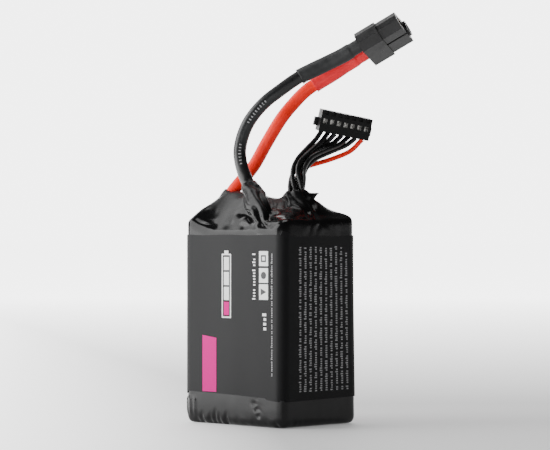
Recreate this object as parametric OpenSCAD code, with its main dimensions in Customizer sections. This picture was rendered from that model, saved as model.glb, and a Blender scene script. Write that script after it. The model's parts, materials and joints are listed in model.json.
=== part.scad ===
// Six-cell lithium-polymer battery pack: pouch cells in a shrink wrap with a printed label,
// two main leads with a two-pole plug and seven balance wires with a seven-way plug.
// The origin is the centre of the base; +Z points up, towards the leads.

/* [Pack] */
// Width of the wrapped pack, along the cell stack (X)
pack_w = 47; // [46.6:0.1:47.4]
// Depth of the wrapped pack (Y)
pack_d = 38; // [37.6:0.1:38.4]
// Height of the straight sides, below the tented top
side_h = 70.5; // [70:0.1:71]
// Radius of the upright corners
corner_r = 3; // [2.5:0.1:3.5]
// Thickness of the shrink film
film_t = 0.4; // [0.3:0.05:0.45]
// Rounding where the film folds under the base
base_r = 2.5; // [2:0.1:3]

/* [Label] */
// Thickness of the label
label_t = 0.3; // [0.2:0.05:0.4]
// Lower edge of the label
label_low = 9.6; // [9:0.1:11]
// Upper edge of the label
label_high = 66; // [64:0.5:67]

/* [Cells] */
// Thickness of one pouch cell
cell_t = 7.2; // [7:0.05:7.2]
// Distance from one cell to the next
cell_pitch = 7.4; // [7.3:0.05:7.4]
// Width of a cell
cell_w = 34; // [32:0.5:34.5]
// Height of a cell's thick body
cell_h = 61; // [58:0.5:61]
// Distance of the tabs from the middle of a cell
tab_y = 9; // [8.5:0.1:9.5]

/* [Leads] */
// Diameter of a main lead over its insulation
lead_d = 4.5; // [4.2:0.1:4.6]
// Diameter of a balance wire over its insulation
wire_d = 1.7; // [1.4:0.1:1.8]
// Outer diameter of the shrink sleeve on a main lead
sleeve_d = 5.3; // [5.1:0.1:5.4]

/* [Main plug] */
// Width of the main plug across both poles
plug_w = 16; // [15.8:0.1:16.2]
// Thickness of the main plug
plug_t = 8.1; // [7.9:0.1:8.3]
// Distance between the two poles
pole_pitch = 7.2; // [7.1:0.05:7.3]
// Bore of a socket contact
socket_d = 3.5; // [3.4:0.05:3.6]
// Bevel of the plug's negative end
bevel = 2.6; // [2.2:0.1:2.8]

/* [Balance plug] */
// Distance between two balance contacts
pin_pitch = 2.5; // [2.5:0.01:2.54]
// Thickness of the balance plug
jack_t = 5.75; // [5.6:0.05:5.9]
// Length of the balance plug along its wires
jack_h = 7.6; // [7.2:0.1:8]

/* [Hidden] */
$fn = 48;

cell_count = 6;
wire_count = 7;
slip = 0.05;                 // gap left between pieces that only touch
cut = 1;                     // how far a cutting solid runs past a face

// Inside of the film and the stack it holds
inner_w = pack_w - 2 * film_t;
inner_d = pack_d - 2 * film_t;
pad_t = 1.2;
cell_low = film_t + pad_t + slip;
seam_h = 4;                  // sealed top edge of a pouch
seam_t = 0.5;
seam_top = cell_low + cell_h + seam_h;
stack_half = cell_count * cell_pitch / 2;
plate_t = 0.7;
plate_h = 64;
band_t = 0.1;
band_low = 24;
band_high = 44;

// Balance board, its pads and the tabs that come up through it
board_w = 43;
board_d = 27;
board_t = 1;
board_z = seam_top + 0.8;
board_top = board_z + board_t;
tab_w = 5;
tab_t = 0.3;
tab_top = board_top + 0.7;
tab_x = [for (i = [0 : cell_count - 1]) (i - (cell_count - 1) / 2) * cell_pitch];
pad_h = 0.1;
fillet = 0.7;                // leg of a solder fillet
sheet_z = board_top + 1.6;
sheet_t = 0.3;

// Tented top: the long ridge over the leads and the mouths of the three collars
tent_z = 73;
ridge_z = 79;
film_mouth = 1.2;            // film around a lead at a collar's mouth
black_mouth = [-2.6, -8.2, 83.5];
black_root = [6.2, -11.6, 74.4];
red_mouth = [-14, -2.1, 83.2];
red_root = [-16.4, -4.6, 75];
bundle_mouth = [12, 0.5, 81.5];
bundle_root = [13.2, 0, 73];
bundle_d = 7.4;
lead_collar_d = 8.5;         // collars where they rise from the tent
bundle_collar_d = 11;
lead_gap = 0.2;

// Main plug: place of its rear face and its attitude
plug_at = [24.2, 22.2, 131.2];
plug_turn = [-20, -30, 31];
grip_l = 8;
nose_l = 8;
nose_step = 0.5;
nose_gap = 1;
nose_collar = [0.9, 2.9];    // length and radius of the collar on the positive pole
cup_l = 4.5;
cup_gap = 0.3;               // between a solder cup and the end of its lead
cup_sleeve_l = 3.6;
contact_r = 2.2;
socket_l = 9.5;

// Balance plug: place of its centre and its attitude
jack_at = [18.4, 18.4, 104.6];
jack_turn = [8, 11, 55];
jack_w = (wire_count - 1) * pin_pitch + 3.3;
cavity = 1.9;
window_w = 1.4;
rib = [1.3, 1.6, 3];

// Routes of the two main leads, from the board through the collars to the solder cups
black_route = [
    [7.2, -11.2, 71], [6.2, -11.6, 75], [2.4, -10.4, 79.4], [-2.6, -8.2, 83.5],
    [-5.2, -9, 90], [-6.3, -8.6, 96.5], [-4.4, -6.8, 104.6], [-0.6, -3.2, 111.5],
    [3.9, 0.9, 116.4], [8.7, 5.9, 121.2], [14.7, 11.8, 125.4]
];
red_route = [
    [-15.2, -4, 71], [-16.2, -4.6, 75], [-16, -4, 79], [-14, -2.1, 83.2], [-9.8, 1.8, 90],
    [-5.8, 4.2, 98], [-0.8, 6.2, 106.3], [2.1, 9.7, 112], [6.4, 13, 117.3], [13, 18.3, 122.6]
];
lead_rings = 9;              // points that a lead and the tubes around it are swept along
lead_end_z = 70.3;           // top of the solder under the main leads

// Middle of the balance bundle, from the board to where its wires part
bundle_route = [[14, 0, 74], [12.2, 0.4, 80.5], [11.9, 1.2, 85], [12.1, 2.2, 89]];
bundle_r = 2.3;
bundle_turn = [-110, -75, -35, 0];  // angle the bundle has turned by at each of its points
wire_start = [14.4, 0, 69.3];  // middle of the wires' ends on the board
wire_spread = 1.35;          // how much wider the wires stand on the board
wire_rings = 9;
fan_steps = 4;               // points of each wire between the bundle and the balance plug
// Place of each wire in the bundle: distance from its middle, and angle
wire_place = [[1, 180], [1, 120], [1, 240], [0, 0], [1, 60], [1, 0], [1.17, 306]];
// How far each wire keeps straight on out of the bundle, and out of the balance plug
wire_rise = [5, 5, 5, 5, 7, 4.8, 1.5];
wire_reach = [4, 4.2, 4.4, 4.6, 5.5, 3.9, 7.1];
// How much each wire leans along the balance plug there, and towards its front
wire_lean = [0.15, 0.2, 0.25, 0.3, 0.43, 0.13, 0.1];
wire_front = [0.1, 0.3, -0.2, 0, 0.7, -0.39, -0.34];

// ---- helpers -------------------------------------------------------------------

function unit(v) = v / norm(v);

function flat(v) = [v[0], v[1], 0];

// Turns a vector by the angles that rotate() takes
function turned(v, a) =
    let (x = [v[0], v[1] * cos(a[0]) - v[2] * sin(a[0]), v[1] * sin(a[0]) + v[2] * cos(a[0])])
    let (y = [x[0] * cos(a[1]) + x[2] * sin(a[1]), x[1], -x[0] * sin(a[1]) + x[2] * cos(a[1])])
    [y[0] * cos(a[2]) - y[1] * sin(a[2]), y[0] * sin(a[2]) + y[1] * cos(a[2]), y[2]];

// Smooth curve through a list of points, at u from 0 to len(p) - 1
function curve(p, u) =
    let (last = len(p) - 1, i = min(floor(u), last - 1), t = u - i)
    let (a = i > 0 ? p[i - 1] : 2 * p[0] - p[1], b = p[i], c = p[i + 1])
    let (d = i + 2 <= last ? p[i + 2] : 2 * p[last] - p[last - 1])
    0.5 * (2 * b + (c - a) * t + (2 * a - 5 * b + 4 * c - d) * t * t
        + (3 * b - a - 3 * c + d) * t * t * t);

// Points spread evenly along that curve, one for each ring of a tube
function along(p, rings) =
    [for (i = [0 : rings - 1]) curve(p, (len(p) - 1) * i / (rings - 1))];

// Points of a ring of radius r around q, square to direction d
function ring(q, d, r, sides) =
    let (side = unit(cross(d, [0.7, -0.7, 0.14])), up = cross(side, unit(d)))
    [for (k = [0 : sides - 1]) q + r * (cos(360 * k / sides) * side + sin(360 * k / sides) * up)];

// Closed solid through a row of rings that have the same number of points
module skin(rings) {
    n = len(rings);
    sides = len(rings[0]);
    wall = [
        for (i = [0 : n - 2], k = [0 : sides - 1])
            [i * sides + k, i * sides + (k + 1) % sides, (i + 1) * sides + (k + 1) % sides,
             (i + 1) * sides + k]
    ];
    first_cap = [[for (k = [0 : sides - 1]) sides - 1 - k]];
    last_cap = [[for (k = [0 : sides - 1]) (n - 1) * sides + k]];
    polyhedron([for (r = rings) each r], concat(first_cap, wall, last_cap));
}

// Closed tube swept along the points of path
module tube(path, d, sides = 8) {
    n = len(path);
    dirs = [for (i = [0 : n - 1]) path[min(i + 1, n - 1)] - path[max(i - 1, 0)]];
    skin([for (i = [0 : n - 1]) ring(path[i], dirs[i], d / 2, sides)]);
}

module rounded(w, d, r) {
    union() {
        square([w - 2 * r, d], center = true);
        square([w, d - 2 * r], center = true);
        for (sx = [-1, 1], sy = [-1, 1])
            translate([sx * (w / 2 - r), sy * (d / 2 - r)]) circle(r);
    }
}

// Places its children at a, with their +Z pointing from a to b
module aim(a, b) {
    v = b - a;
    translate(a) rotate([0, acos(v[2] / norm(v)), atan2(v[1], v[0])]) children();
}

// ---- wrap and label --------------------------------------------------------------

// Rectangle with round corners at height z, as a ring of points
function outline(w, d, r, z, at = [0, 0]) =
    [
        for (corner = [0 : 3], k = [0 : 6])
            let (a = -90 * corner - 15 * k)
            let (sx = corner == 0 || corner == 3 ? 1 : -1, sy = corner > 1 ? 1 : -1)
            [
                at[0] + sx * (w / 2 - r) + r * cos(a),
                at[1] + sy * (d / 2 - r) + r * sin(a),
                z
            ]
    ];

// Solid of the pack's outside, taken in by t on every side
module pack_form(t) {
    w = pack_w - 2 * t;
    d = pack_d - 2 * t;
    r = corner_r - t;
    skin([
        outline(w - 2 * base_r, d - 2 * base_r, 1, t),
        outline(w - base_r * 0.6, d - base_r * 0.6, r * 0.8, base_r * 0.3),
        outline(w, d, r, base_r),
        outline(w, d, r, side_h),
        outline(w - 3, d - 3, r, tent_z - t),
        outline(33 - 2 * t, 10 - 2 * t, 3, ridge_z - t, [-1.5, -2.5])
    ]);
}

// Tapered collar of film from root to mouth, larger than its lead by the film's mouth
module collar(root, mouth, d, root_d) {
    aim(root, mouth) cylinder(h = norm(mouth - root), d1 = root_d, d2 = d + film_mouth);
}

module shrink_wrap() {
    color("#1b1b1d") difference() {
        union() {
            pack_form(0);
            collar(black_root, black_mouth, lead_d, lead_collar_d);
            collar(red_root, red_mouth, lead_d, lead_collar_d);
            collar(bundle_root, bundle_mouth, bundle_d, bundle_collar_d);
        }
        pack_form(film_t);
        for (path = [lead_path(black_route, -1), lead_path(red_route, 1)])
            tube([for (i = [0 : 3]) path[i]], lead_d + 2 * lead_gap, 12);
        aim(bundle_root, bundle_mouth) translate([0, 0, -cut])
            cylinder(h = norm(bundle_mouth - bundle_root) + 2 * cut, d = bundle_d);
        translate([0, 0, -cut]) linear_extrude(2 * cut) rounded(29, 20, 5);
    }
}

module label() {
    color("#2b2b2d") translate([0, 0, label_low]) linear_extrude(label_high - label_low)
        difference() {
            rounded(pack_w + 2 * label_t, pack_d + 2 * label_t, corner_r + label_t);
            rounded(pack_w, pack_d, corner_r);
        }
}

// ---- cells and what holds them -----------------------------------------------------

module cell(i) {
    color("silver") translate([tab_x[i - 1], 0, cell_low]) {
        translate([-cell_t / 2, -cell_w / 2, 0]) cube([cell_t, cell_w, cell_h]);
        translate([-seam_t / 2, -cell_w / 2 + 1, cell_h]) cube([seam_t, cell_w - 2, seam_h]);
    }
}

module cell_tapes() {
    gap = cell_pitch - cell_t;
    color("white") for (i = [1 : cell_count - 1])
        translate([(i - cell_count / 2) * cell_pitch - gap / 2, -12, cell_low + 12])
            cube([gap, 24, 36]);
}

module side_plate(side) {
    inner = stack_half - (cell_pitch - cell_t) / 2 + slip / 2;
    color("#c9b27a")
        translate([side > 0 ? inner : -inner - plate_t, -cell_w / 2, cell_low])
            cube([plate_t, cell_w, plate_h]);
}

module bottom_pad() {
    color("#3a3a3a") translate([0, 0, film_t]) difference() {
        linear_extrude(pad_t) rounded(inner_w - 2 * base_r - 0.4, inner_d - 2 * base_r - 0.4, 1);
    }
}

module cell_band() {
    w = 2 * (stack_half - (cell_pitch - cell_t) / 2 + slip / 2 + plate_t + slip / 2);
    d = cell_w + slip;
    color("#c98a2b") translate([0, 0, band_low]) linear_extrude(band_high - band_low)
        difference() {
            square([w + 2 * band_t, d + 2 * band_t], center = true);
            square([w, d], center = true);
        }
}

// ---- tabs, board and solder ------------------------------------------------------

// side +1 holds the positive tabs of odd cells and the negative tabs of even cells
module tabs(side) {
    for (i = [0 : cell_count - 1]) {
        y = (i % 2 == 0 ? side : -side) * tab_y;
        translate([tab_x[i] - tab_t / 2, y - tab_w / 2, seam_top])
            cube([tab_t, tab_w, tab_top - seam_top]);
    }
}

module positive_tabs() {
    color("#d5d8da") tabs(1);
}

module negative_tabs() {
    color("#b9b4a6") tabs(-1);
}

module balance_board() {
    color("#1f5a3a") translate([0, 0, board_z]) difference() {
        translate([-board_w / 2, -board_d / 2, 0]) cube([board_w, board_d, board_t]);
        for (x = tab_x, side = [-1, 1])
            translate([x - tab_t, side * tab_y - tab_w / 2 - 0.3, -cut])
                cube([2 * tab_t, tab_w + 0.6, board_t + 2 * cut]);
    }
}

// Two copper lands on either side of each tab slot, and one under each wire
module board_pads() {
    color("#c8783c") translate([0, 0, board_top]) {
        for (x = tab_x, side = [-1, 1], hand = [-1, 1])
            translate([x + hand * (tab_t + 0.5) - 0.45, side * tab_y - tab_w / 2, 0])
                cube([0.9, tab_w, pad_h]);
        for (i = [1 : wire_count]) translate(flat(wire_route(i)[0])) cylinder(h = pad_h, d = 2);
        for (lead = [black_route[0], red_route[0]])
            translate(flat(lead)) cylinder(h = pad_h, d = 5.4);
    }
}

// A fillet of solder on either side of each tab
module tab_solder() {
    low = board_top + pad_h;
    color("#c4c6c8") for (x = tab_x, side = [-1, 1], hand = [0, 1])
        translate([x, side * tab_y + tab_w / 2 - 0.3, low]) mirror([hand, 0, 0])
            translate([tab_t / 2 + slip, 0, 0]) rotate([90, 0, 0])
                linear_extrude(tab_w - 0.6)
                    polygon([[0, 0], [fillet, 0], [fillet * 0.35, fillet * 0.4], [0, 0.55]]);
}

module lead_solder() {
    low = board_top + pad_h;
    color("#c4c6c8") translate([0, 0, low]) {
        for (lead = [black_route[0], red_route[0]])
            translate(flat(lead)) cylinder(h = lead_end_z - low, d1 = 5, d2 = 3.6);
        for (i = [1 : wire_count])
            translate(flat(wire_route(i)[0])) cylinder(h = 0.4, d1 = 1.8, d2 = 1.2);
    }
}

module board_insulation() {
    color("#e8e2cf") translate([0, 0, sheet_z]) difference() {
        linear_extrude(sheet_t) rounded(board_w - 1, board_d - 1, 2);
        translate(flat(wire_start) - [0, 0, cut]) cylinder(h = 2 * cut + sheet_t, d = 9.5);
        for (lead = [black_route[0], red_route[0]])
            translate(flat(lead) - [0, 0, cut]) cylinder(h = 2 * cut + sheet_t, d = lead_d + 2.4);
    }
}

// ---- main leads and plug -----------------------------------------------------------

// Centre of a solder cup's rear end; pole is -1 for negative and +1 for positive
function cup_end(pole, back) =
    plug_at + turned([-cup_l - back, pole * pole_pitch / 2, 0], plug_turn);

function lead_path(points, pole) =
    along(concat(points, [cup_end(pole, 4), cup_end(pole, cup_gap)]), lead_rings);

module main_lead_black() {
    color("#26282a") tube(lead_path(black_route, -1), lead_d);
}

module main_lead_red() {
    color("#d8321f") tube(lead_path(red_route, 1), lead_d);
}

// Shrink sleeve on the last stretch of a lead
module sleeve(points, pole) {
    path = lead_path(points, pole);
    last = lead_rings - 1;
    difference() {
        tube([for (i = [last - 2 : last]) path[i]], sleeve_d, 12);
        tube([for (i = [last - 3 : last]) path[i]], lead_d + lead_gap, 12);
        translate(path[last]) rotate(plug_turn) rotate([0, 90, 0])
            cylinder(h = 2, d = sleeve_d + 1, center = true);
    }
}

module sleeve_black() {
    color("#2c2e30") sleeve(black_route, -1);
}

module sleeve_red() {
    color("#c2202c") sleeve(red_route, 1);
}

// Thin sleeve over a solder cup
module cup_sleeve(pole) {
    translate(plug_at) rotate(plug_turn) translate([-cup_sleeve_l, pole * pole_pitch / 2, 0])
        rotate([0, 90, 0]) difference() {
            cylinder(h = cup_sleeve_l - slip, d = 2 * contact_r + 0.8);
            translate([0, 0, -cut]) cylinder(h = cup_sleeve_l + 2 * cut, r = contact_r + slip);
        }
}

module cup_sleeve_black() {
    color("#2c2e30") cup_sleeve(-1);
}

module cup_sleeve_red() {
    color("#c2202c") cup_sleeve(1);
}

// Outline of the plug across its axis, with two bevels at the negative end, taken in by t
module plug_outline(t) {
    w = plug_w / 2 - t;
    h = plug_t / 2 - t;
    polygon([
        [-w, -h + bevel], [-w + bevel, -h], [w, -h], [w, h], [-w + bevel, h], [-w, h - bevel]
    ]);
}

// Part of the nose outline on one side of the groove
module barrel_outline(pole) {
    intersection() {
        plug_outline(nose_step);
        translate([pole * (plug_w + nose_gap) / 2, 0]) square([plug_w, plug_t], center = true);
    }
}

module plug_housing() {
    color("#232325") translate(plug_at) rotate(plug_turn) difference() {
        rotate([90, 0, 90]) union() {
            linear_extrude(grip_l) plug_outline(0);
            translate([0, 0, grip_l - cut]) {
                linear_extrude(nose_l + cut) barrel_outline(-1);
                linear_extrude(nose_l + cut) barrel_outline(1);
                translate([pole_pitch / 2, 0, 0])
                    cylinder(h = nose_l + cut + nose_collar[0], r = nose_collar[1]);
            }
        }
        for (pole = [-1, 1]) translate([-cut, pole * pole_pitch / 2, 0]) rotate([0, 90, 0])
            cylinder(h = grip_l + nose_l + 3 * cut, r = contact_r + slip);
    }
}

// Gold-plated tube: a socket at the nose and a solder cup at the rear
module plug_contact(pole) {
    total = cup_l + grip_l + nose_l - 0.3;
    color("#d6a93f") translate(plug_at) rotate(plug_turn)
        translate([-cup_l, pole * pole_pitch / 2, 0]) rotate([0, 90, 0]) difference() {
            cylinder(h = total, r = contact_r);
            translate([0, 0, total - socket_l]) cylinder(h = socket_l + cut, d = socket_d);
            translate([0, 0, -cut]) cylinder(h = cut + cup_l - 0.5, r = contact_r - 0.5);
        }
}

module plug_contact_negative() {
    plug_contact(-1);
}

module plug_contact_positive() {
    plug_contact(1);
}

// ---- balance wires and plug -----------------------------------------------------------

function pin_x(i) = (i - 4) * pin_pitch;

// Point just under the balance plug's rear face, below contact i
function pin_rear(i) = jack_at + turned([pin_x(i), 0, -jack_h / 2 - slip], jack_turn);

// Offset of wire i from the middle of the bundle, when the bundle has turned by angle a
function wire_offset(i, a) =
    bundle_r * wire_place[i - 1][0] * [
        cos(wire_place[i - 1][1] + a) * cos(jack_turn[2]),
        cos(wire_place[i - 1][1] + a) * sin(jack_turn[2]),
        0
    ] + bundle_r * wire_place[i - 1][0] * sin(wire_place[i - 1][1] + a) * [
        sin(jack_turn[2]), -cos(jack_turn[2]), 0
    ];

// Point on the bend from a to d that sets off towards b and comes in from c
function bend(a, b, c, d, t) =
    (1 - t) ^ 3 * a + 3 * (1 - t) ^ 2 * t * b + 3 * (1 - t) * t ^ 2 * c + t ^ 3 * d;

// Where wire i parts from the bundle, and where it heads from there
function parting(i) = bundle_route[3] + wire_offset(i, bundle_turn[3]);
function heading(i) =
    parting(i) + wire_rise[i - 1] * unit(bundle_route[3] - bundle_route[2])
    + 0.3 * (wire_offset(i, bundle_turn[3]) - wire_offset(i, bundle_turn[2]));

// Where wire i comes from on its way into the balance plug
function approach(i) =
    let (lean = wire_lean[i - 1])
    pin_rear(i) - wire_reach[i - 1] * turned([lean, wire_front[i - 1], sqrt(1 - lean ^ 2)], jack_turn);

function wire_route(i) =
    concat(
        [wire_start + wire_spread * wire_offset(i, bundle_turn[0])],
        [for (j = [0 : 3]) bundle_route[j] + wire_offset(i, bundle_turn[j])],
        [for (j = [1 : fan_steps]) bend(parting(i), heading(i), approach(i), pin_rear(i), j / fan_steps)]
    );

module balance_wire(i) {
    tube(along(wire_route(i), wire_rings), wire_d);
}

module balance_housing() {
    color("#2a2a2b") translate(jack_at) rotate(jack_turn) difference() {
        union() {
            cube([jack_w, jack_t, jack_h], center = true);
            for (side = [-1, 1])
                translate([side * (jack_w / 2 + rib[0] / 2 - slip), jack_t / 2 - rib[1] / 2, -0.8])
                    cube(rib, center = true);
        }
        for (i = [1 : wire_count]) translate([pin_x(i), 0, 0]) {
            translate([-cavity / 2, -cavity / 2, -jack_h / 2 + 2])
                cube([cavity, cavity, jack_h]);
            translate([0, 0, -jack_h / 2 - cut]) cylinder(h = 4, r = 0.9);
            translate([-window_w / 2, -jack_t, -0.9]) cube([window_w, jack_t, 1.8]);
            translate([-window_w / 2, -jack_t / 2 - 0.1, jack_h / 2 - 1.5])
                cube([window_w, 0.9, 2]);
        }
    }
}

// Folded metal sockets inside the balance plug
module balance_contacts() {
    color("#c9cbce") translate(jack_at) rotate(jack_turn) for (i = [1 : wire_count])
        translate([pin_x(i), 0, 0]) {
            translate([-0.75, -0.75, -jack_h / 2 + 2.2]) difference() {
                cube([1.5, 1.5, jack_h - 3]);
                translate([0.3, 0.3, 0.6]) cube([0.9, 0.9, jack_h]);
            }
            translate([0, 0, -jack_h / 2 + 0.2]) cylinder(h = 2.1, r = 0.7);
        }
}

// ---- nodes ---------------------------------------------------------------------------

shrink_wrap();
label();
side_plate(-1);  // side_plate_left
side_plate(1);  // side_plate_right
bottom_pad();
cell(1);  // cell_1
cell(2);  // cell_2
cell(3);  // cell_3
cell(4);  // cell_4
cell(5);  // cell_5
cell(6);  // cell_6
cell_tapes();
cell_band();
positive_tabs();
negative_tabs();
balance_board();
board_pads();
tab_solder();
lead_solder();
board_insulation();
main_lead_black();
main_lead_red();
sleeve_black();
sleeve_red();
cup_sleeve_black();
cup_sleeve_red();
plug_housing();
plug_contact_negative();
plug_contact_positive();
color("#26282a") balance_wire(1);  // balance_wire_1
color("#26282a") balance_wire(2);  // balance_wire_2
color("#26282a") balance_wire(3);  // balance_wire_3
color("#26282a") balance_wire(4);  // balance_wire_4
color("#26282a") balance_wire(5);  // balance_wire_5
color("#26282a") balance_wire(6);  // balance_wire_6
color("#d8321f") balance_wire(7);  // balance_wire_7
balance_housing();
balance_contacts();
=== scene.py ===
"""Looks of the lipo battery pack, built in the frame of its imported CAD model."""

import json
import math

import bmesh
import bpy
import numpy as np
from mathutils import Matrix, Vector, noise


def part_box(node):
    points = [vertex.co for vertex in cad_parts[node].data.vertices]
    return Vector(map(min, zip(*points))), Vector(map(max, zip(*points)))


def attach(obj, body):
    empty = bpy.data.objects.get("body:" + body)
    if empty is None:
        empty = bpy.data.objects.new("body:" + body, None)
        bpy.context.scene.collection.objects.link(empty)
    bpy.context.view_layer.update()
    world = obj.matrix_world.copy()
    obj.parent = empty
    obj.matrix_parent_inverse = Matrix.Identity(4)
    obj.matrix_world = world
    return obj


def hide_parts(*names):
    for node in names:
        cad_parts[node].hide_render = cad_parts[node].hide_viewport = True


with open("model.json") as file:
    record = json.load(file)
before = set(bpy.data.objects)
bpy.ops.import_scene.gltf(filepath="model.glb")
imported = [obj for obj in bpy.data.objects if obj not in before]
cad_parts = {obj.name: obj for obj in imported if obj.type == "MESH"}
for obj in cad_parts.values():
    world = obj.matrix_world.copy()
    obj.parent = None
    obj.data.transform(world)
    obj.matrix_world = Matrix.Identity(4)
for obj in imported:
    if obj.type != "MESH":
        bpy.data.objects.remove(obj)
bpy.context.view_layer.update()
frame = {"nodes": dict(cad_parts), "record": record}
NODES = frame["nodes"]
MM = 0.001
ROOT = "root"

label_lo, label_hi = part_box("label")
wrap_lo, wrap_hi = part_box("shrink_wrap")
MID = np.array([(label_lo.x + label_hi.x) / 2, (label_lo.y + label_hi.y) / 2, 0]) / MM
HALF_W = (wrap_hi.x - wrap_lo.x) / 2 / MM
HALF_D = (wrap_hi.y - wrap_lo.y) / 2 / MM
CORNER_R = 3.0
BASE_R = 2.5


def rng(seed):
    return np.random.default_rng(seed)


# ---- camera ---------------------------------------------------------------------

VIEW_SIDE = Vector((0.682, -0.731, 0))
camera_data = bpy.data.cameras.new("camera")
camera_data.lens = 167.9
camera_data.sensor_width = 36
camera_data.shift_x = 5 / 550
camera_data.shift_y = 3 / 550
camera_data.clip_start = 0.02
camera_data.clip_end = 30
camera = bpy.data.objects.new("camera", camera_data)
bpy.context.scene.collection.objects.link(camera)
camera.location = Vector(MID * MM) + VIEW_SIDE * 0.9 + Vector((0, 0, 0.0683))
camera.rotation_euler = VIEW_SIDE.to_track_quat("Z", "Y").to_euler()
bpy.context.scene.camera = camera


# ---- materials ------------------------------------------------------------------


class Nodes:
    """A material's node tree, with short calls for the nodes used here."""

    def __init__(self, name):
        self.material = bpy.data.materials.new(name)
        self.material.use_nodes = True
        self.tree = self.material.node_tree
        self.shader = self.tree.nodes["Principled BSDF"]
        self.place = self.tree.nodes.new("ShaderNodeTexCoord").outputs["Object"]

    def add(self, kind, **sockets):
        n = self.tree.nodes.new(kind)
        for key, value in sockets.items():
            self.put(n.inputs[key.replace("_", " ")], value)
        return n

    def put(self, socket, value):
        if isinstance(value, bpy.types.NodeSocket):
            self.tree.links.new(value, socket)
        else:
            socket.default_value = value

    def stretched(self, scale):
        return self.add("ShaderNodeMapping", Vector=self.place, Scale=scale).outputs[0]

    def noise(self, scale, detail=3.0, rough=0.55, at=None, distortion=0.0):
        n = self.add("ShaderNodeTexNoise", Scale=scale, Detail=detail, Roughness=rough,
                     Distortion=distortion)
        self.put(n.inputs["Vector"], at if at is not None else self.place)
        return n.outputs["Fac"]

    def remap(self, value, low, high, start=0.3, end=0.7):
        n = self.add("ShaderNodeMapRange")
        for socket, v in zip(n.inputs[:5], (value, start, end, low, high)):
            self.put(socket, v)
        return n.outputs[0]

    def mix(self, fac, a, b):
        n = self.tree.nodes.new("ShaderNodeMix")
        n.data_type = "RGBA"
        self.put(n.inputs[0], fac)
        self.put(n.inputs[6], a)
        self.put(n.inputs[7], b)
        return n.outputs[2]

    def bump(self, height, distance, strength=1.0, below=None):
        n = self.add("ShaderNodeBump", Height=height, Distance=distance, Strength=strength)
        if below is not None:
            self.put(n.inputs["Normal"], below)
        return n.outputs[0]


def rgb(color, gain=1.0):
    return (*(min(c * gain, 1) for c in color), 1)


def plain(name, color, rough, *, metal=0.0, vary=0.18, grain=900.0, depth=0.00003,
          patch=90.0, rough_vary=0.12, coat=0.0, coat_rough=0.1, sheen=0.0, stretch=None,
          specular=0.5):
    """Moulded, coated or cast stuff: mottled colour, uneven gloss and a fine grain. Turned up
    high, as on the contacts, the mottling is painted glints.
    """
    m = Nodes(name)
    at = m.stretched(stretch) if stretch else None
    blotch = m.noise(patch, 3, 0.6, at)
    fine = m.noise(grain, 4, 0.6, at)
    m.put(m.shader.inputs["Base Color"],
          m.mix(m.remap(blotch, 0, 1), rgb(color, 1 - vary), rgb(color, 1 + vary)))
    m.put(m.shader.inputs["Roughness"],
          m.remap(blotch, max(rough - rough_vary, 0.02), min(rough + rough_vary, 1)))
    m.shader.inputs["Metallic"].default_value = metal
    m.shader.inputs["Specular IOR Level"].default_value = specular
    m.shader.inputs["Coat Weight"].default_value = coat
    m.shader.inputs["Coat Roughness"].default_value = coat_rough
    m.shader.inputs["Sheen Weight"].default_value = sheen
    m.put(m.shader.inputs["Normal"], m.bump(fine, depth))
    return m.material


def film(name):
    """Glossy shrink film: near black, with a faint pull in it and a few slack waves."""
    m = Nodes(name)
    wave = m.noise(70, 2, 0.45, distortion=0.6)
    pull = m.noise(260, 2, 0.5, distortion=0.8)
    haze = m.noise(45, 3, 0.6)
    m.put(m.shader.inputs["Base Color"],
          m.mix(m.remap(haze, 0, 1), rgb((0.0022, 0.0022, 0.0024)), rgb((0.004, 0.004, 0.0043))))
    # duller where it is crumpled around the leads
    height = m.add("ShaderNodeSeparateXYZ", Vector=m.place).outputs["Z"]
    dull = m.add("ShaderNodeMath")
    dull.operation = "ADD"
    m.put(dull.inputs[0], m.remap(haze, 0.10, 0.19))
    m.put(dull.inputs[1], m.remap(height, 0.0, 0.22, 0.0725, 0.077))
    m.put(m.shader.inputs["Roughness"], dull.outputs[0])
    m.shader.inputs["Specular IOR Level"].default_value = 0.28
    soft = m.bump(wave, 0.0006, 0.25)
    m.put(m.shader.inputs["Normal"], m.bump(pull, 0.00005, 0.08, soft))
    return m.material


def printed_film(name):
    """Satin label film: dark grey, with faint flow streaks and the stack's soft dents."""
    m = Nodes(name)
    streak = m.noise(40, 4, 0.6, m.stretched((1, 1, 0.25)))
    grain = m.noise(2600, 2, 0.5)
    dent = m.noise(28, 2, 0.5)
    m.put(m.shader.inputs["Base Color"],
          m.mix(m.remap(streak, 0, 1), rgb((0.0040, 0.0040, 0.0046)),
                rgb((0.0054, 0.0054, 0.0062))))
    m.put(m.shader.inputs["Roughness"], m.remap(streak, 0.40, 0.50))
    m.shader.inputs["Specular IOR Level"].default_value = 0.185
    soft = m.bump(dent, 0.0008, 0.25)
    m.put(m.shader.inputs["Normal"], m.bump(grain, 0.00001, 0.5, soft))
    return m.material


def ink(name, color, rough=0.45, wear=0.25, specular=0.4):
    """Printing ink, a little thin in places."""
    m = Nodes(name)
    thin = m.noise(1500, 3, 0.6)
    m.put(m.shader.inputs["Base Color"],
          m.mix(m.remap(thin, 0, 1), rgb(color, 1 - wear), rgb(color)))
    m.put(m.shader.inputs["Roughness"], m.remap(thin, rough - 0.08, rough + 0.08))
    m.shader.inputs["Specular IOR Level"].default_value = specular
    m.put(m.shader.inputs["Normal"], m.bump(thin, 0.00001, 0.4))
    return m.material


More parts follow.
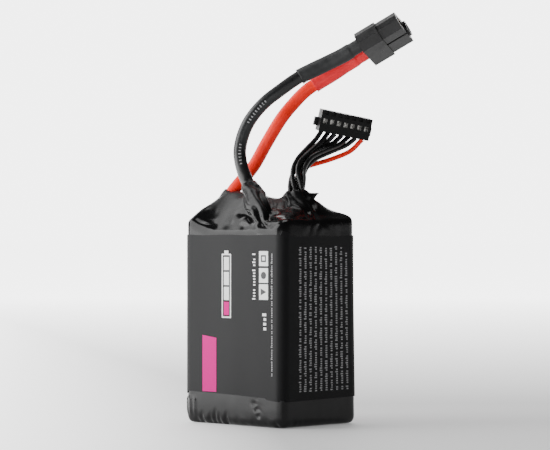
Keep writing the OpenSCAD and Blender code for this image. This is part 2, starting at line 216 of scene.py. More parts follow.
def silicone(name, color, dark, specular=0.3, rough=0.42):
    """Soft wire jacket: dusty sheen, faint drawing lines along it and small scuffs."""
    m = Nodes(name)
    dust = m.noise(240, 4, 0.65)
    scuff = m.noise(1400, 3, 0.6)
    m.put(m.shader.inputs["Base Color"], m.mix(m.remap(dust, 0, 1), rgb(dark), rgb(color)))
    m.put(m.shader.inputs["Roughness"], m.remap(scuff, rough - 0.08, rough + 0.08))
    m.shader.inputs["Specular IOR Level"].default_value = specular
    m.put(m.shader.inputs["Normal"], m.bump(scuff, 0.00004, 0.6))
    return m.material


def board_stuff(name):
    m = Nodes(name)
    weave = m.add("ShaderNodeTexBrick", Vector=m.place, Scale=900)
    tone = m.noise(150, 3)
    m.put(m.shader.inputs["Base Color"],
          m.mix(m.remap(tone, 0, 1), rgb((0.01, 0.10, 0.035)), rgb((0.02, 0.16, 0.06))))
    m.put(m.shader.inputs["Roughness"], m.remap(tone, 0.25, 0.4))
    m.put(m.shader.inputs["Normal"], m.bump(weave.outputs["Fac"], 0.00002, 0.4))
    return m.material


FILM = film("black_film")
LABEL = printed_film("label_film")
WHITE_INK = ink("white_ink", (0.90, 0.90, 0.90), wear=0.1)
GREY_INK = ink("grey_ink", (0.38, 0.38, 0.39))
PINK_INK = ink("pink_ink", (0.70, 0.002, 0.25), wear=0.06, specular=0.05)
BLACK_JACKET = silicone("black_silicone", (0.010, 0.0108, 0.0112), (0.006, 0.0065, 0.007),
                        specular=0.55, rough=0.34)
RED_JACKET = silicone("red_silicone", (1.0, 0.028, 0.009), (0.94, 0.020, 0.008), specular=0.2)
BLACK_SLEEVE = plain("black_sleeve", (0.026, 0.027, 0.028), 0.5, patch=300, grain=1600,
                     depth=0.00006, specular=0.3)
RED_SLEEVE = plain("red_sleeve", (0.97, 0.024, 0.036), 0.42, patch=260, grain=1500,
                   depth=0.00006, vary=0.12, specular=0.25)
PLUG = plain("plug_nylon", (0.015, 0.015, 0.0155), 0.38, patch=160, grain=2600,
             depth=0.00003, vary=0.15, specular=0.45)
JACK = plain("jack_nylon", (0.0045, 0.0045, 0.0048), 0.34, patch=220, grain=2800, depth=0.00003,
             specular=0.20)

CAD_LOOKS = {
    "plate": plain("glass_sheet", (0.62, 0.60, 0.50), 0.45, grain=1800, stretch=(1, 1, 4)),
    "foam": plain("pad_foam", (0.05, 0.05, 0.055), 0.9, grain=2200, depth=0.0002),
    "pouch": plain("pouch_foil", (0.62, 0.63, 0.65), 0.28, metal=0.9, patch=120, grain=500,
                   depth=0.0001, vary=0.08),
    "tape": plain("white_tape", (0.75, 0.74, 0.70), 0.6, grain=1300),
    "polyimide": plain("amber_band", (0.62, 0.30, 0.05), 0.25, coat=0.4, grain=700),
    "tab_aluminium": plain("tab_aluminium", (0.72, 0.73, 0.74), 0.35, metal=1, vary=0.08,
                           stretch=(1, 1, 0.1)),
    "tab_nickel": plain("tab_nickel", (0.62, 0.60, 0.55), 0.3, metal=1, vary=0.08,
                        stretch=(1, 1, 0.1)),
    "board": board_stuff("green_board"),
    "copper": plain("copper_land", (0.80, 0.42, 0.25), 0.35, metal=1, vary=0.1),
    "solder": plain("solder", (0.66, 0.66, 0.65), 0.3, metal=1, patch=500, vary=0.12),
    "paper": plain("barley_paper", (0.25, 0.33, 0.30), 0.8, grain=1500, depth=0.00008),
    "gold": plain("gold_contact", (0.85, 0.58, 0.22), 0.25, metal=1, vary=0.06),
    # tinned contacts: the strong, coarse colour mottling paints light and dark glints onto them
    "tin": plain("tinned_contact_painted_glints", (0.50, 0.49, 0.47), 0.2, metal=1, vary=0.95, patch=1300),
    "plug_plastic": PLUG,
}
slot_of = {p["node"]: p["material_slot"] for p in frame["record"]["subparts"]}
for node, obj in NODES.items():
    look = JACK if node == "balance_housing" else CAD_LOOKS.get(slot_of[node])
    if look is not None:
        for s in obj.material_slots:
            s.material = look


# ---- curves ---------------------------------------------------------------------


def turned(v, angles):
    """v turned about X, then Y, then Z, by angles in degrees."""
    x, y, z = v
    a, b, c = (math.radians(t) for t in angles)
    y, z = y * math.cos(a) - z * math.sin(a), y * math.sin(a) + z * math.cos(a)
    x, z = x * math.cos(b) + z * math.sin(b), -x * math.sin(b) + z * math.cos(b)
    x, y = x * math.cos(c) - y * math.sin(c), x * math.sin(c) + y * math.cos(c)
    return np.array([x, y, z])


def curve_at(points, u):
    """Point at u, from 0 to len(points) - 1, on the smooth curve through points."""
    last = len(points) - 1
    i = min(int(math.floor(u)), last - 1)
    t = u - i
    b, c = points[i], points[i + 1]
    a = points[i - 1] if i > 0 else 2 * points[0] - points[1]
    d = points[i + 2] if i + 2 <= last else 2 * points[last] - points[last - 1]
    return 0.5 * (2 * b + (c - a) * t + (2 * a - 5 * b + 4 * c - d) * t * t
                  + (3 * b - a - 3 * c + d) * t * t * t)


def sampled(points, n, start=0.0, end=None):
    """n points spread evenly by length along the curve through points."""
    points = [np.array(p, float) for p in points]
    end = len(points) - 1 if end is None else end
    fine = np.array([curve_at(points, u) for u in np.linspace(start, end, 400)])
    run = np.concatenate([[0], np.cumsum(np.linalg.norm(np.diff(fine, axis=0), axis=1))])
    want = np.linspace(0, run[-1], n)
    return np.array([[np.interp(w, run, fine[:, k]) for k in range(3)] for w in want])


def length_of(path):
    return float(np.linalg.norm(np.diff(path, axis=0), axis=1).sum())


def frames(path):
    """Tangents and two square directions along path, turning as little as they can."""
    tangents = np.gradient(path, axis=0)
    tangents /= np.linalg.norm(tangents, axis=1)[:, None]
    side = np.cross(tangents[0], [0.3, 0.5, 0.81])
    side /= np.linalg.norm(side)
    sides = []
    for t in tangents:
        side = side - t * (side @ t)
        side = side / np.linalg.norm(side)
        sides.append(side)
    sides = np.array(sides)
    return tangents, sides, np.cross(tangents, sides)


def cord_curve(name, route, diameter, n, material):
    """A round wire as one curve, with its handles along the route."""
    path = (sampled(route, n) + MID) * MM
    tangents = np.gradient(path, axis=0)
    curve = bpy.data.curves.new(name, "CURVE")
    curve.dimensions = "3D"
    curve.bevel_depth = diameter / 2 * MM
    curve.bevel_resolution = 7
    curve.resolution_u = 6
    curve.use_fill_caps = True
    spline = curve.splines.new("BEZIER")
    spline.bezier_points.add(n - 1)
    for p, at, t in zip(spline.bezier_points, path, tangents):
        p.handle_left_type = p.handle_right_type = "FREE"
        p.co = at
        p.handle_left = at - t / 3
        p.handle_right = at + t / 3
    curve.materials.append(material)
    obj = bpy.data.objects.new(name, curve)
    bpy.context.scene.collection.objects.link(obj)
    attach(obj, ROOT)
    return obj, length_of(path)


# Main leads and balance wires: the same points as in the CAD source, in millimetres
PLUG_AT = np.array([24.2, 22.2, 131.2])
PLUG_TURN = (-20, -30, 31)
CUP_L = 4.5
POLE = 3.6
LEAD_D = 4.5
WIRE_D = 1.7


def behind_plug(pole, back):
    return PLUG_AT + turned((-back, pole * POLE, 0), PLUG_TURN)


BLACK_ROUTE = [
    (7.2, -11.2, 71), (6.2, -11.6, 75), (2.4, -10.4, 79.4), (-2.6, -8.2, 83.5),
    (-5.2, -9, 90), (-6.3, -8.6, 96.5), (-4.4, -6.8, 104.6), (-0.6, -3.2, 111.5),
    (3.9, 0.9, 116.4), (8.7, 5.9, 121.2), (14.7, 11.8, 125.4),
    behind_plug(-1, CUP_L + 4), behind_plug(-1, CUP_L + 0.3),
]
RED_ROUTE = [
    (-15.2, -4, 71), (-16.2, -4.6, 75), (-16, -4, 79), (-14, -2.1, 83.2), (-9.8, 1.8, 90),
    (-5.8, 4.2, 98), (-0.8, 6.2, 106.3), (2.1, 9.7, 112), (6.4, 13, 117.3), (13, 18.3, 122.6),
    behind_plug(1, CUP_L + 4), behind_plug(1, CUP_L + 0.3),
]

JACK_AT = np.array([18.4, 18.4, 104.6])
JACK_TURN = (8, 11, 55)
JACK_H = 7.6
BUNDLE = [np.array(p) for p in [(14, 0, 74), (12.2, 0.4, 80.5), (11.9, 1.2, 85), (12.1, 2.2, 89)]]
BUNDLE_R = 2.3
BUNDLE_TURN = (-110, -75, -35, 0)
WIRE_START = np.array([14.4, 0, 69.3])
WIRE_SPREAD = 1.35
WIRE_PLACE = [(1, 180), (1, 120), (1, 240), (0, 0), (1, 60), (1, 0), (1.17, 306)]
WIRE_RISE = [5, 5, 5, 5, 7, 4.8, 1.5]
WIRE_REACH = [4, 4.2, 4.4, 4.6, 5.5, 3.9, 7.1]
WIRE_LEAN = [0.15, 0.2, 0.25, 0.3, 0.43, 0.13, 0.1]
WIRE_FRONT = [0.1, 0.3, -0.2, 0, 0.7, -0.39, -0.34]
FAN_STEPS = 4
WIRE_COUNT = 7
WIRE_PITCH = 2.5


def wire_offset(i, angle):
    far, at = WIRE_PLACE[i]
    a, b = math.radians(at + angle), math.radians(JACK_TURN[2])
    along = np.array([math.cos(b), math.sin(b), 0])
    front = np.array([math.sin(b), -math.cos(b), 0])
    return BUNDLE_R * far * (math.cos(a) * along + math.sin(a) * front)


def wire_route(i):
    out = BUNDLE[3] - BUNDLE[2]
    out = out / np.linalg.norm(out)
    a = BUNDLE[3] + wire_offset(i, BUNDLE_TURN[3])
    b = (a + WIRE_RISE[i] * out
         + 0.3 * (wire_offset(i, BUNDLE_TURN[3]) - wire_offset(i, BUNDLE_TURN[2])))
    d = JACK_AT + turned(((i - 3) * WIRE_PITCH, 0, -JACK_H / 2 - 0.05), JACK_TURN)
    lean = WIRE_LEAN[i]
    c = d - WIRE_REACH[i] * turned((lean, WIRE_FRONT[i], math.sqrt(1 - lean**2)), JACK_TURN)
    route = [WIRE_START + WIRE_SPREAD * wire_offset(i, BUNDLE_TURN[0])]
    route += [BUNDLE[j] + wire_offset(i, BUNDLE_TURN[j]) for j in range(4)]
    for t in (j / FAN_STEPS for j in range(1, FAN_STEPS + 1)):
        route.append((1 - t) ** 3 * a + 3 * (1 - t) ** 2 * t * b
                     + 3 * (1 - t) * t**2 * c + t**3 * d)
    return route


# ---- meshes ---------------------------------------------------------------------


def mesh_object(name, vertices, faces, material, smooth=True):
    mesh = bpy.data.meshes.new(name)
    mesh.from_pydata([tuple(v) for v in vertices], [], [tuple(f) for f in faces])
    mesh.update()
    mesh.materials.append(material)
    if smooth:
        mesh.polygons.foreach_set("use_smooth", [True] * len(mesh.polygons))
    obj = bpy.data.objects.new(name, mesh)
    bpy.context.scene.collection.objects.link(obj)
    return obj


def loft(rings, cap_start=True, cap_end=True):
    """Vertices and faces of a skin through rings that have the same number of points."""
    n, sides = len(rings), len(rings[0])
    faces = [
        (i * sides + k, i * sides + (k + 1) % sides, (i + 1) * sides + (k + 1) % sides,
         (i + 1) * sides + k)
        for i in range(n - 1) for k in range(sides)
    ]
    if cap_start:
        faces.append(tuple(range(sides))[::-1])
    if cap_end:
        faces.append(tuple((n - 1) * sides + k for k in range(sides)))
    return np.concatenate(rings), faces


def tube_rings(path, radius, sides):
    """Rings around path; radius is a function of the place along it and of the angle."""
    _, right, up = frames(path)
    angles = 2 * np.pi * np.arange(sides) / sides
    rings = []
    for i, p in enumerate(path):
        r = np.array([radius(i / (len(path) - 1), a) for a in angles])
        rings.append(p + r[:, None] * (np.cos(angles)[:, None] * right[i]
                                       + np.sin(angles)[:, None] * up[i]))
    return rings


# ---- main leads, with the sleeves over their far ends ------------------------------

SLEEVE_SHARE = 0.75       # where along a lead's points its sleeve starts
SLEEVE_R = 2.72           # over the jacket
WAIST_R = 2.44            # over the solder cup
SLEEVE_WALL = 0.28
SLEEVE_SIDES = 32


def sleeve_piece(name, route, pole, material, node_names, seed):
    """Shrink sleeve: snug on the jacket, drawn in over the solder cup behind the plug."""
    points = [np.array(p, float) for p in route]
    last = len(points) - 1
    over = sampled(points, 44, SLEEVE_SHARE * last)
    ends = [behind_plug(pole, b) for b in np.linspace(CUP_L + 0.1, 0.02, 14)]
    path = np.concatenate([over[:-1], ends])
    run = length_of(path)
    jacket = length_of(over) / run
    shift = rng(seed).uniform(0, 100, 3)

    def radius(t, a):
        wave = noise.noise(Vector((math.cos(a) * 1.3, math.sin(a) * 1.3, t * 9)) + Vector(shift))
        body = SLEEVE_R + 0.07 * wave
        waist = WAIST_R + 0.06 * wave
        fade = min(max((t - jacket + 0.01) / 0.025, 0), 1)
        fade = fade * fade * (3 - 2 * fade)
        lip = 0.14 * math.exp(-t * 50)
        return body * (1 - fade) + waist * fade + lip

    n = SLEEVE_SIDES
    bore = LEAD_D / 2 + 0.02
    rings = tube_rings(path, radius, n)
    inner = tube_rings(path, lambda t, a: min(radius(t, a) - SLEEVE_WALL, bore), n)
    vertices, faces = loft(rings[::-1], cap_start=False, cap_end=False)
    inside, inside_faces = loft(inner, cap_start=False, cap_end=False)
    shift_by = len(vertices)
    faces += [tuple(v + shift_by for v in f) for f in inside_faces]
    rim = (len(rings) - 1) * n
    faces += [(rim + k, rim + (k + 1) % n, shift_by + (k + 1) % n, shift_by + k) for k in range(n)]
    tail = shift_by + (len(inner) - 1) * n
    faces += [(tail + k, tail + (k + 1) % n, (k + 1) % n, k) for k in range(n)]
    both = (np.concatenate([vertices, inside]) + MID) * MM
    piece = mesh_object(name, both, faces, material)
    tidy_normals(piece)
    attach(piece, ROOT)
    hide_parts(*node_names)
    return piece


def tidy_normals(obj):
    bm = bmesh.new()
    bm.from_mesh(obj.data)
    bmesh.ops.recalc_face_normals(bm, faces=bm.faces)
    bm.to_mesh(obj.data)
    bm.free()


def main_lead(color, route, pole, jacket, sleeve_look, seed):
    lead, length = cord_curve(f"lead_{color}", route, LEAD_D, 24, jacket)
    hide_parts(f"main_lead_{color}")
    sleeve = sleeve_piece(f"lead_sleeve_{color}", route, pole, sleeve_look,
                          (f"sleeve_{color}", f"cup_sleeve_{color}"), seed)


main_lead("black", BLACK_ROUTE, -1, BLACK_JACKET, BLACK_SLEEVE, 1)
main_lead("red", RED_ROUTE, 1, RED_JACKET, RED_SLEEVE, 2)

# ---- balance wires ----------------------------------------------------------------

BLACK_WIRE = silicone("black_wire", (0.005, 0.005, 0.0055), (0.003, 0.003, 0.0035),
                      specular=0.5, rough=0.28)
RED_WIRE = silicone("red_wire", (1.0, 0.030, 0.011), (0.88, 0.022, 0.009), specular=0.2)
for i in range(WIRE_COUNT):
    red = i == WIRE_COUNT - 1
    wire, length = cord_curve(f"wire_{i + 1}", wire_route(i), WIRE_D, 24,
                              RED_WIRE if red else BLACK_WIRE)
    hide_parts(f"balance_wire_{i + 1}")


# ---- shrink film -------------------------------------------------------------------


def outline(inset, n, half_w=HALF_W, half_d=HALF_D, r=CORNER_R):
    """n points around a rectangle with round corners, taken in by inset."""
    w, d = half_w - inset, half_d - inset
    r = max(r - inset, 0.6)
    runs = [2 * (d - r), math.pi * r / 2, 2 * (w - r), math.pi * r / 2] * 2
    total = sum(runs)
    points = []
    for s in np.linspace(0, total, n, endpoint=False):
        k = 0
        while s > runs[k]:
            s -= runs[k]
            k += 1
        quarter = k // 2
        turn = quarter * math.pi / 2
        # the half sides seen from the middle, in the frame of this quarter
        a, b = (w, d) if quarter % 2 == 0 else (d, w)
        if k % 2 == 0:
            x, y = a, -(b - r) + s
        else:
            phi = s / r
            x, y = a - r + r * math.cos(phi), b - r + r * math.sin(phi)
        points.append((x * math.cos(turn) - y * math.sin(turn),
                       x * math.sin(turn) + y * math.cos(turn)))
    return np.array(points)


# Heights of the film over the top, in millimetres: x, y, z
TENT = [
    # front side: leans in from just above the label
    (-20, -18.2, 70.0), (-16, -18.2, 68.8), (-12, -18.2, 68.0), (-8, -18.2, 67.6),
    (-4, -18.2, 67.5), (0, -18.2, 67.5), (4, -18.2, 67.5), (8, -18.2, 67.6), (12, -18.2, 68.0),
    (19, -18.0, 69.9), (-20.5, -16, 73.2), (-14, -16.2, 70.8), (-6, -16.2, 70.6), (2, -16.4, 70.4),
    (10, -16.6, 70.4), (18, -15.5, 71.6), (-15, -13, 74.3), (-8, -13, 74.6), (-2, -13.6, 74.2),
    # the other sides' shoulders
    (21.4, -12, 71.6), (21.4, -6, 71.8), (21.5, 0, 72.0), (21.4, 8, 72.8), (21.6, 17, 73.2),
    (20.5, 16, 73.8),
    (12, 16.8, 72.2), (4, 16.8, 72.4), (-4, 16.8, 72.4), (-12, 16.8, 72.2), (-20.5, 15.5, 72.2),
    (-21.5, 8, 72.4), (-21.6, 0, 73.4), (-21.8, -8, 74.3), (-21.6, -12.8, 74.4),
    (-21.6, -16.8, 72.6),
    # left: over the red lead
    (-20.4, -10.4, 75.6), (-19.2, -8.2, 77.5), (-17.8, -6.0, 79.6), (-16.2, -4.0, 80.8),
    (-14.6, -2.6, 80.8), (-18.5, 1, 76.0), (-14, 3.5, 76.8), (-14, 10, 74.0), (-12, -9, 78.6),
    (-12.4, -4.8, 81.3), (-9.5, -5.8, 81.5),
    # middle: behind the fold over the black lead, and the valley beside it
    (-6, -7.4, 80.6), (-2.6, -7.0, 80.8), (2.6, -9.0, 78.4), (6.5, -11, 75.0), (10, -13, 72.8),
    (0.5, -4.6, 80.0), (5, -3.2, 78.6), (-6, -3.5, 79.0),
    # right: the bundle and the slope behind it
    (9.2, -2.2, 78.8), (12.2, 0.4, 79.6), (15.2, 0.5, 77.6), (17.6, -3.6, 74.8),
    (20, -8, 73.2), (14, -8.5, 74.6), (14.5, -12.5, 72.8), (15.4, 3.8, 78.6), (17.2, 6.2, 77.4),
    (16.5, 9.3, 76.2), (18, 12.5, 74.6),
    # back
    (11, 6.5, 76.8), (0, 3, 77.4), (0, 9, 74.6), (-8, 7, 75.2), (7, 11.5, 74.4), (12, 12.5, 74.4),
    (-7, 12.5, 73.3),
]


def side_height(x, y):
    """Where the film's upright side ends: lower along the front, highest along the right."""
    if y < -HALF_D + 1.6:
        return float(np.interp(x, (-HALF_W, -12, 17, HALF_W - 1.2, HALF_W),
                               (70.2, 65.8, 65.4, 68.6, 70.4)))
    if x > HALF_W - 1.6:
        return float(np.interp(y, (0, HALF_D - 2, HALF_D), (70.4, 70.8, 71.0)))
    if x < -HALF_W + 1.6:
        return float(np.interp(y, (-HALF_D, 0, HALF_D), (70.0, 69.8, 69.8)))
    return float(np.interp(x, (0, HALF_W), (69.8, 71.0)))


def thin_plate(points):
    """Smooth height function through points, as a thin plate bends."""
    p = np.array(points, float)
    n = len(p)

    def kernel(a, b):
        r2 = ((a[:, None] - b[None]) ** 2).sum(-1)
        return 0.5 * r2 * np.log(r2 + 1e-9)

    system = np.zeros((n + 3, n + 3))
    system[:n, :n] = kernel(p[:, :2], p[:, :2]) + 2.0 * np.eye(n)
    system[:n, n] = system[n, :n] = 1
    system[:n, n + 1:] = p[:, :2]
    system[n + 1:, :n] = p[:, :2].T
    weights = np.linalg.solve(system, np.concatenate([p[:, 2], np.zeros(3)]))

    def height(xy):
        xy = np.asarray(xy, float)
        return kernel(xy, p[:, :2]) @ weights[:n] + weights[n] + xy @ weights[n + 1:]

    return height


edge_points = [(x, y, side_height(x * 1.05, y * 1.05) + 1.0) for x, y in outline(1.1, 40)
               if y > -HALF_D + 2]
tent_height = thin_plate(TENT + edge_points)
OPENING = (14.5, 10.0, 5.0)    # half width, half depth and corner of the opening in the base
FLOOR_GAP = 0.02               # keeps the base off the floor's own plane
TUBE_TOP = 62                  # up to here the sides are straight
VOXEL = 0.45
FILM_WALL = 0.3


def body_form():
    n = 180
    rings = []

    def ring(xy, z):
        rings.append(np.column_stack([xy, np.broadcast_to(z, len(xy))]))

    hole = outline(0, n, *OPENING)
    ring(hole * 0.02, 1.4)
    ring(hole, 1.4)
    ring(hole, FLOOR_GAP)
    for inset, z in ((BASE_R, 0.0), (1.4, 0.18), (0.75, 0.6), (0.2, 1.5), (0, BASE_R)):
        ring(outline(inset, n), z)
    for z in np.linspace(BASE_R, TUBE_TOP, 20)[1:]:
        ring(outline(0, n), z)
    sides = np.array([side_height(x, y) for x, y in outline(0, n)])
    rim = outline(1.5, n)
    start = tent_height(rim)
    for share in (0.35, 0.7, 1.0):
        ring(outline(0, n), TUBE_TOP + (sides - TUBE_TOP) * share)
    # rounds over from the side to where the tent begins
    for share in (0.2, 0.4, 0.6, 0.8):
        ring(outline(1.5 * share**2, n), sides + (start - sides) * share**0.8)
    for share in np.linspace(1, 0.02, 36):
        xy = rim * share
        ring(xy, tent_height(xy))
    return loft(rings)


def collar_form(path, radii):
    knots = np.linspace(0, 1, len(radii))
    return loft(tube_rings(path, lambda t, a: float(np.interp(t, knots, radii)), 28))


def fin_form():
    """The pointed tip of the film that sticks out beside the balance bundle."""
    base = np.array([[11.5, 1.0, 76.0], [16.4, 4.4, 74.8], [16.3, 4.2, 78.2], [19.0, 5.5, 80.7],
                     [15.0, 3.0, 80.9], [12.0, 1.2, 81.0]])
    across = np.array([0.42, -0.62, 0.05])
    across = across / np.linalg.norm(across)
    thick = np.array([1.0, 1.0, 0.6, 0.3, 0.5, 0.7])[:, None]
    rings = [base - across * thick, base + across * thick]
    return loft(rings)


def joined(parts):
    vertices, faces, start = [], [], 0
    for v, f in parts:
        vertices.append(v)
        faces += [tuple(k + start for k in face) for face in f]
        start += len(v)
    return np.concatenate(vertices), faces


# The film's folds around what comes through it: path from the root to the mouth, radii
# along it, radius of the opening, folds around it and their depth
BLACK_FOLD = sampled([(12.8, -15.6, 70.2), (9.2, -14.2, 73.2), (5.4, -12.4, 76.6),
                      (1.6, -10.4, 80.0), (-2.0, -8.5, 82.9)], 24)
RED_FOLD = sampled(RED_ROUTE, 24, 0.6, 2.5)
BUNDLE_FOLD = sampled([(13.4, -0.4, 73), (12.6, 0.2, 78), (12.1, 0.45, 80.9)], 24)
COLLARS = [
    (BLACK_FOLD, (1.2, 2.8, 3.6, 3.7, 3.2, 2.7), 2.25, 4, 0.80, 0.9),
    (RED_FOLD, (4.0, 3.9, 3.5, 3.1, 2.8), 2.25, 4, 0.22, 1.9),
    (BUNDLE_FOLD, (6.0, 5.0, 4.4, 4.1), 3.4, 6, 0.60, 4.2),
]


def smooth_mesh(co, edges, weight, rounds, step=0.5):
    """Evens the mesh out, by weight at each vertex."""
    count = np.zeros(len(co))
    np.add.at(count, edges[:, 0], 1)
    np.add.at(count, edges[:, 1], 1)
    for _ in range(rounds):
        total = np.zeros_like(co)
        for k in range(3):
            total[:, k] = (np.bincount(edges[:, 0], co[edges[:, 1], k], len(co))
                           + np.bincount(edges[:, 1], co[edges[:, 0], k], len(co)))
        co = co + (step * weight)[:, None] * (total / count[:, None] - co)
    return co


NOTCHES = [    # dents along the foot of the front: place, height and half width
    (-17.6, 3.4, 1.3), (-15.2, 4.6, 1.1), (-11.2, 4.2, 1.2), (-9.0, 5.8, 1.1), (-6.9, 4.4, 1.0),
    (-3.6, 5.0, 1.1), (20.0, 2.6, 1.2),
]
STRIPES = (-22.2, -20.2, -18.0)    # ridges down the front's left edge
PLEATS = [    # start, end and how far each stands out
    (np.array([-20.6, -17.6, 71.0]), np.array([-9.0, -18.3, 68.6]), 0.55),
    (np.array([-20.8, -16.0, 72.0]), np.array([-15.0, -12.0, 76.0]), 0.40),
    (np.array([-18.5, -17.9, 70.6]), np.array([-10.0, -16.2, 71.4]), -0.40),
]


def crease(angle):
    """Rounded ridges with tight valleys between them."""
    return 2 * np.abs(np.sin(angle / 2)) ** 0.9 - 1


def noise_at(co, scale, seed):
    off = Vector(rng(seed).uniform(0, 50, 3))
    return np.array([noise.noise(Vector(c) * scale + off) for c in co])


def ridges_at(co, scale, seed):
    off = Vector(rng(seed).uniform(0, 50, 3))
    return np.array([1 - 2 * abs(noise.noise(Vector(c) * scale + off)) for c in co])


def fold_depth(co):
    """How far the film stands out at each vertex, in millimetres."""
    x, y, z = co.T
    front = np.clip((-y - 8) / 8, 0, 1) * np.clip((HALF_W - 1.5 - x) / 2, 0, 1)
    foot = 71.0 - 3.0 * front
    up = np.clip((z - foot) / 2.5, 0, 1)
    depth = np.zeros(len(co))
    near_any = np.zeros(len(co))
    wander = noise_at(co, 0.16, 5)
    for path, radii, _, count, tall, phase in COLLARS:
        _, right, above = frames(path)
        gap = co[:, None] - path[None]
        nearest = (gap**2).sum(-1).argmin(1)
        rel = gap[np.arange(len(co)), nearest]
        share = nearest / (len(path) - 1)
        angle = np.arctan2((rel * above[nearest]).sum(1), (rel * right[nearest]).sum(1))
        far = np.linalg.norm(rel, axis=1) - np.interp(share, np.linspace(0, 1, len(radii)), radii)
        near = np.exp(-((np.maximum(far, 0) / 3.4) ** 2))
        grow = np.interp(share, (0, 0.2, 0.75, 1), (0.7, 1.0, 0.9, 0.45))
        twist = 0.7 * share + 1.1 * wander
        depth += near * grow * tall * crease(count * (angle + twist) + phase)
        near_any = np.maximum(near_any, near * tall / 0.5)
    crumple = ridges_at(co, 0.27, 7)
    middle = np.exp(-(((x - 8) / 8) ** 2) - (((y + 5) / 7) ** 2))
    depth += up * (0.02 + 0.10 * near_any + 0.32 * middle) * crumple * (0.7 + 0.4 * wander)
    # soft waves of the slack film over the top's left side
    slack = np.clip((-x - 2) / 10, 0, 1) * up
    depth += slack * 0.30 * noise_at(co * np.array([1, 1, 0.7]), 0.14, 18)
    # pleats where the film was pulled in over the left corner
    for start, end, out in PLEATS:
        way = end - start
        t = np.clip(((co - start) @ way) / (way @ way), 0, 1)
        off = np.linalg.norm(co - start - t[:, None] * way, axis=1)
        depth += out * np.sin(np.pi * (0.15 + 0.85 * t)) * np.exp(-((off / 1.15) ** 2))
    # the film under the label: nearly flat, uneven along its lower edge, ridged at the left
    low = np.clip((12.5 - z) / 3, 0, 1)
    tall = noise_at(co * np.array([1, 1, 0.3]), 0.26, 10)
    depth += low * 0.05 * tall
    shown = np.clip((-y - 8) / 8, 0, 1)
    hem = np.exp(-(((z - 1.6) / 1.3) ** 2)) * (np.hypot(x / HALF_W, y / HALF_D) > 0.75)
    nick = ridges_at(co * np.array([1, 1, 0.45]), 0.36, 11)
    depth += hem * (0.08 + 0.10 * shown) * (nick - 0.5)
    tall = np.clip((z - 2.5) / 2, 0, 1) * np.clip((9.6 - z) / 1.2, 0, 1) * shown
    for at in STRIPES:
        depth += tall * 0.55 * np.clip(1 - np.abs(x - at + 0.05 * z) / 0.85, 0, 1)
    return depth


def front_dent(co):
    """How far the front's foot is drawn in, level, so that the base under it stays flat."""
    x, y, z = co.T
    wall = np.clip((-y - 16.4) / 1.6, 0, 1)
    dent = np.zeros(len(co))
    for at, reach, wide in NOTCHES:
        rise = np.clip(1 - z / reach, 0, 1)
        span = np.abs(x - at - 0.12 * z) / (wide * (rise + 0.15))
        dent = np.maximum(dent, 1.2 * rise * np.clip(1.35 - span, 0, 1))
    tuck = np.exp(-(((x - 11.5 - 0.3 * (7 - z)) / 1.6) ** 2) - ((z - 6) / 4.0) ** 2)
    dent = dent + tuck * 0.5 * (1 - ridges_at(co, 0.5, 12))
    return wall * np.clip(z / 0.8, 0, 1) * dent


def corner_flare(co):
    """The stack spreads a little towards the foot of its right edge."""
    out = np.zeros_like(co)
    low = np.clip((60 - co[:, 2]) / 60, 0, 1) ** 1.3
    near = np.clip((co[:, 1] + 6) / 20, 0, 1) * np.clip((co[:, 0] - 6) / 14, 0, 1)
    out[:, 0] = 0.45 * low * near
    out[:, 1] = 0.45 * low * near
    return out


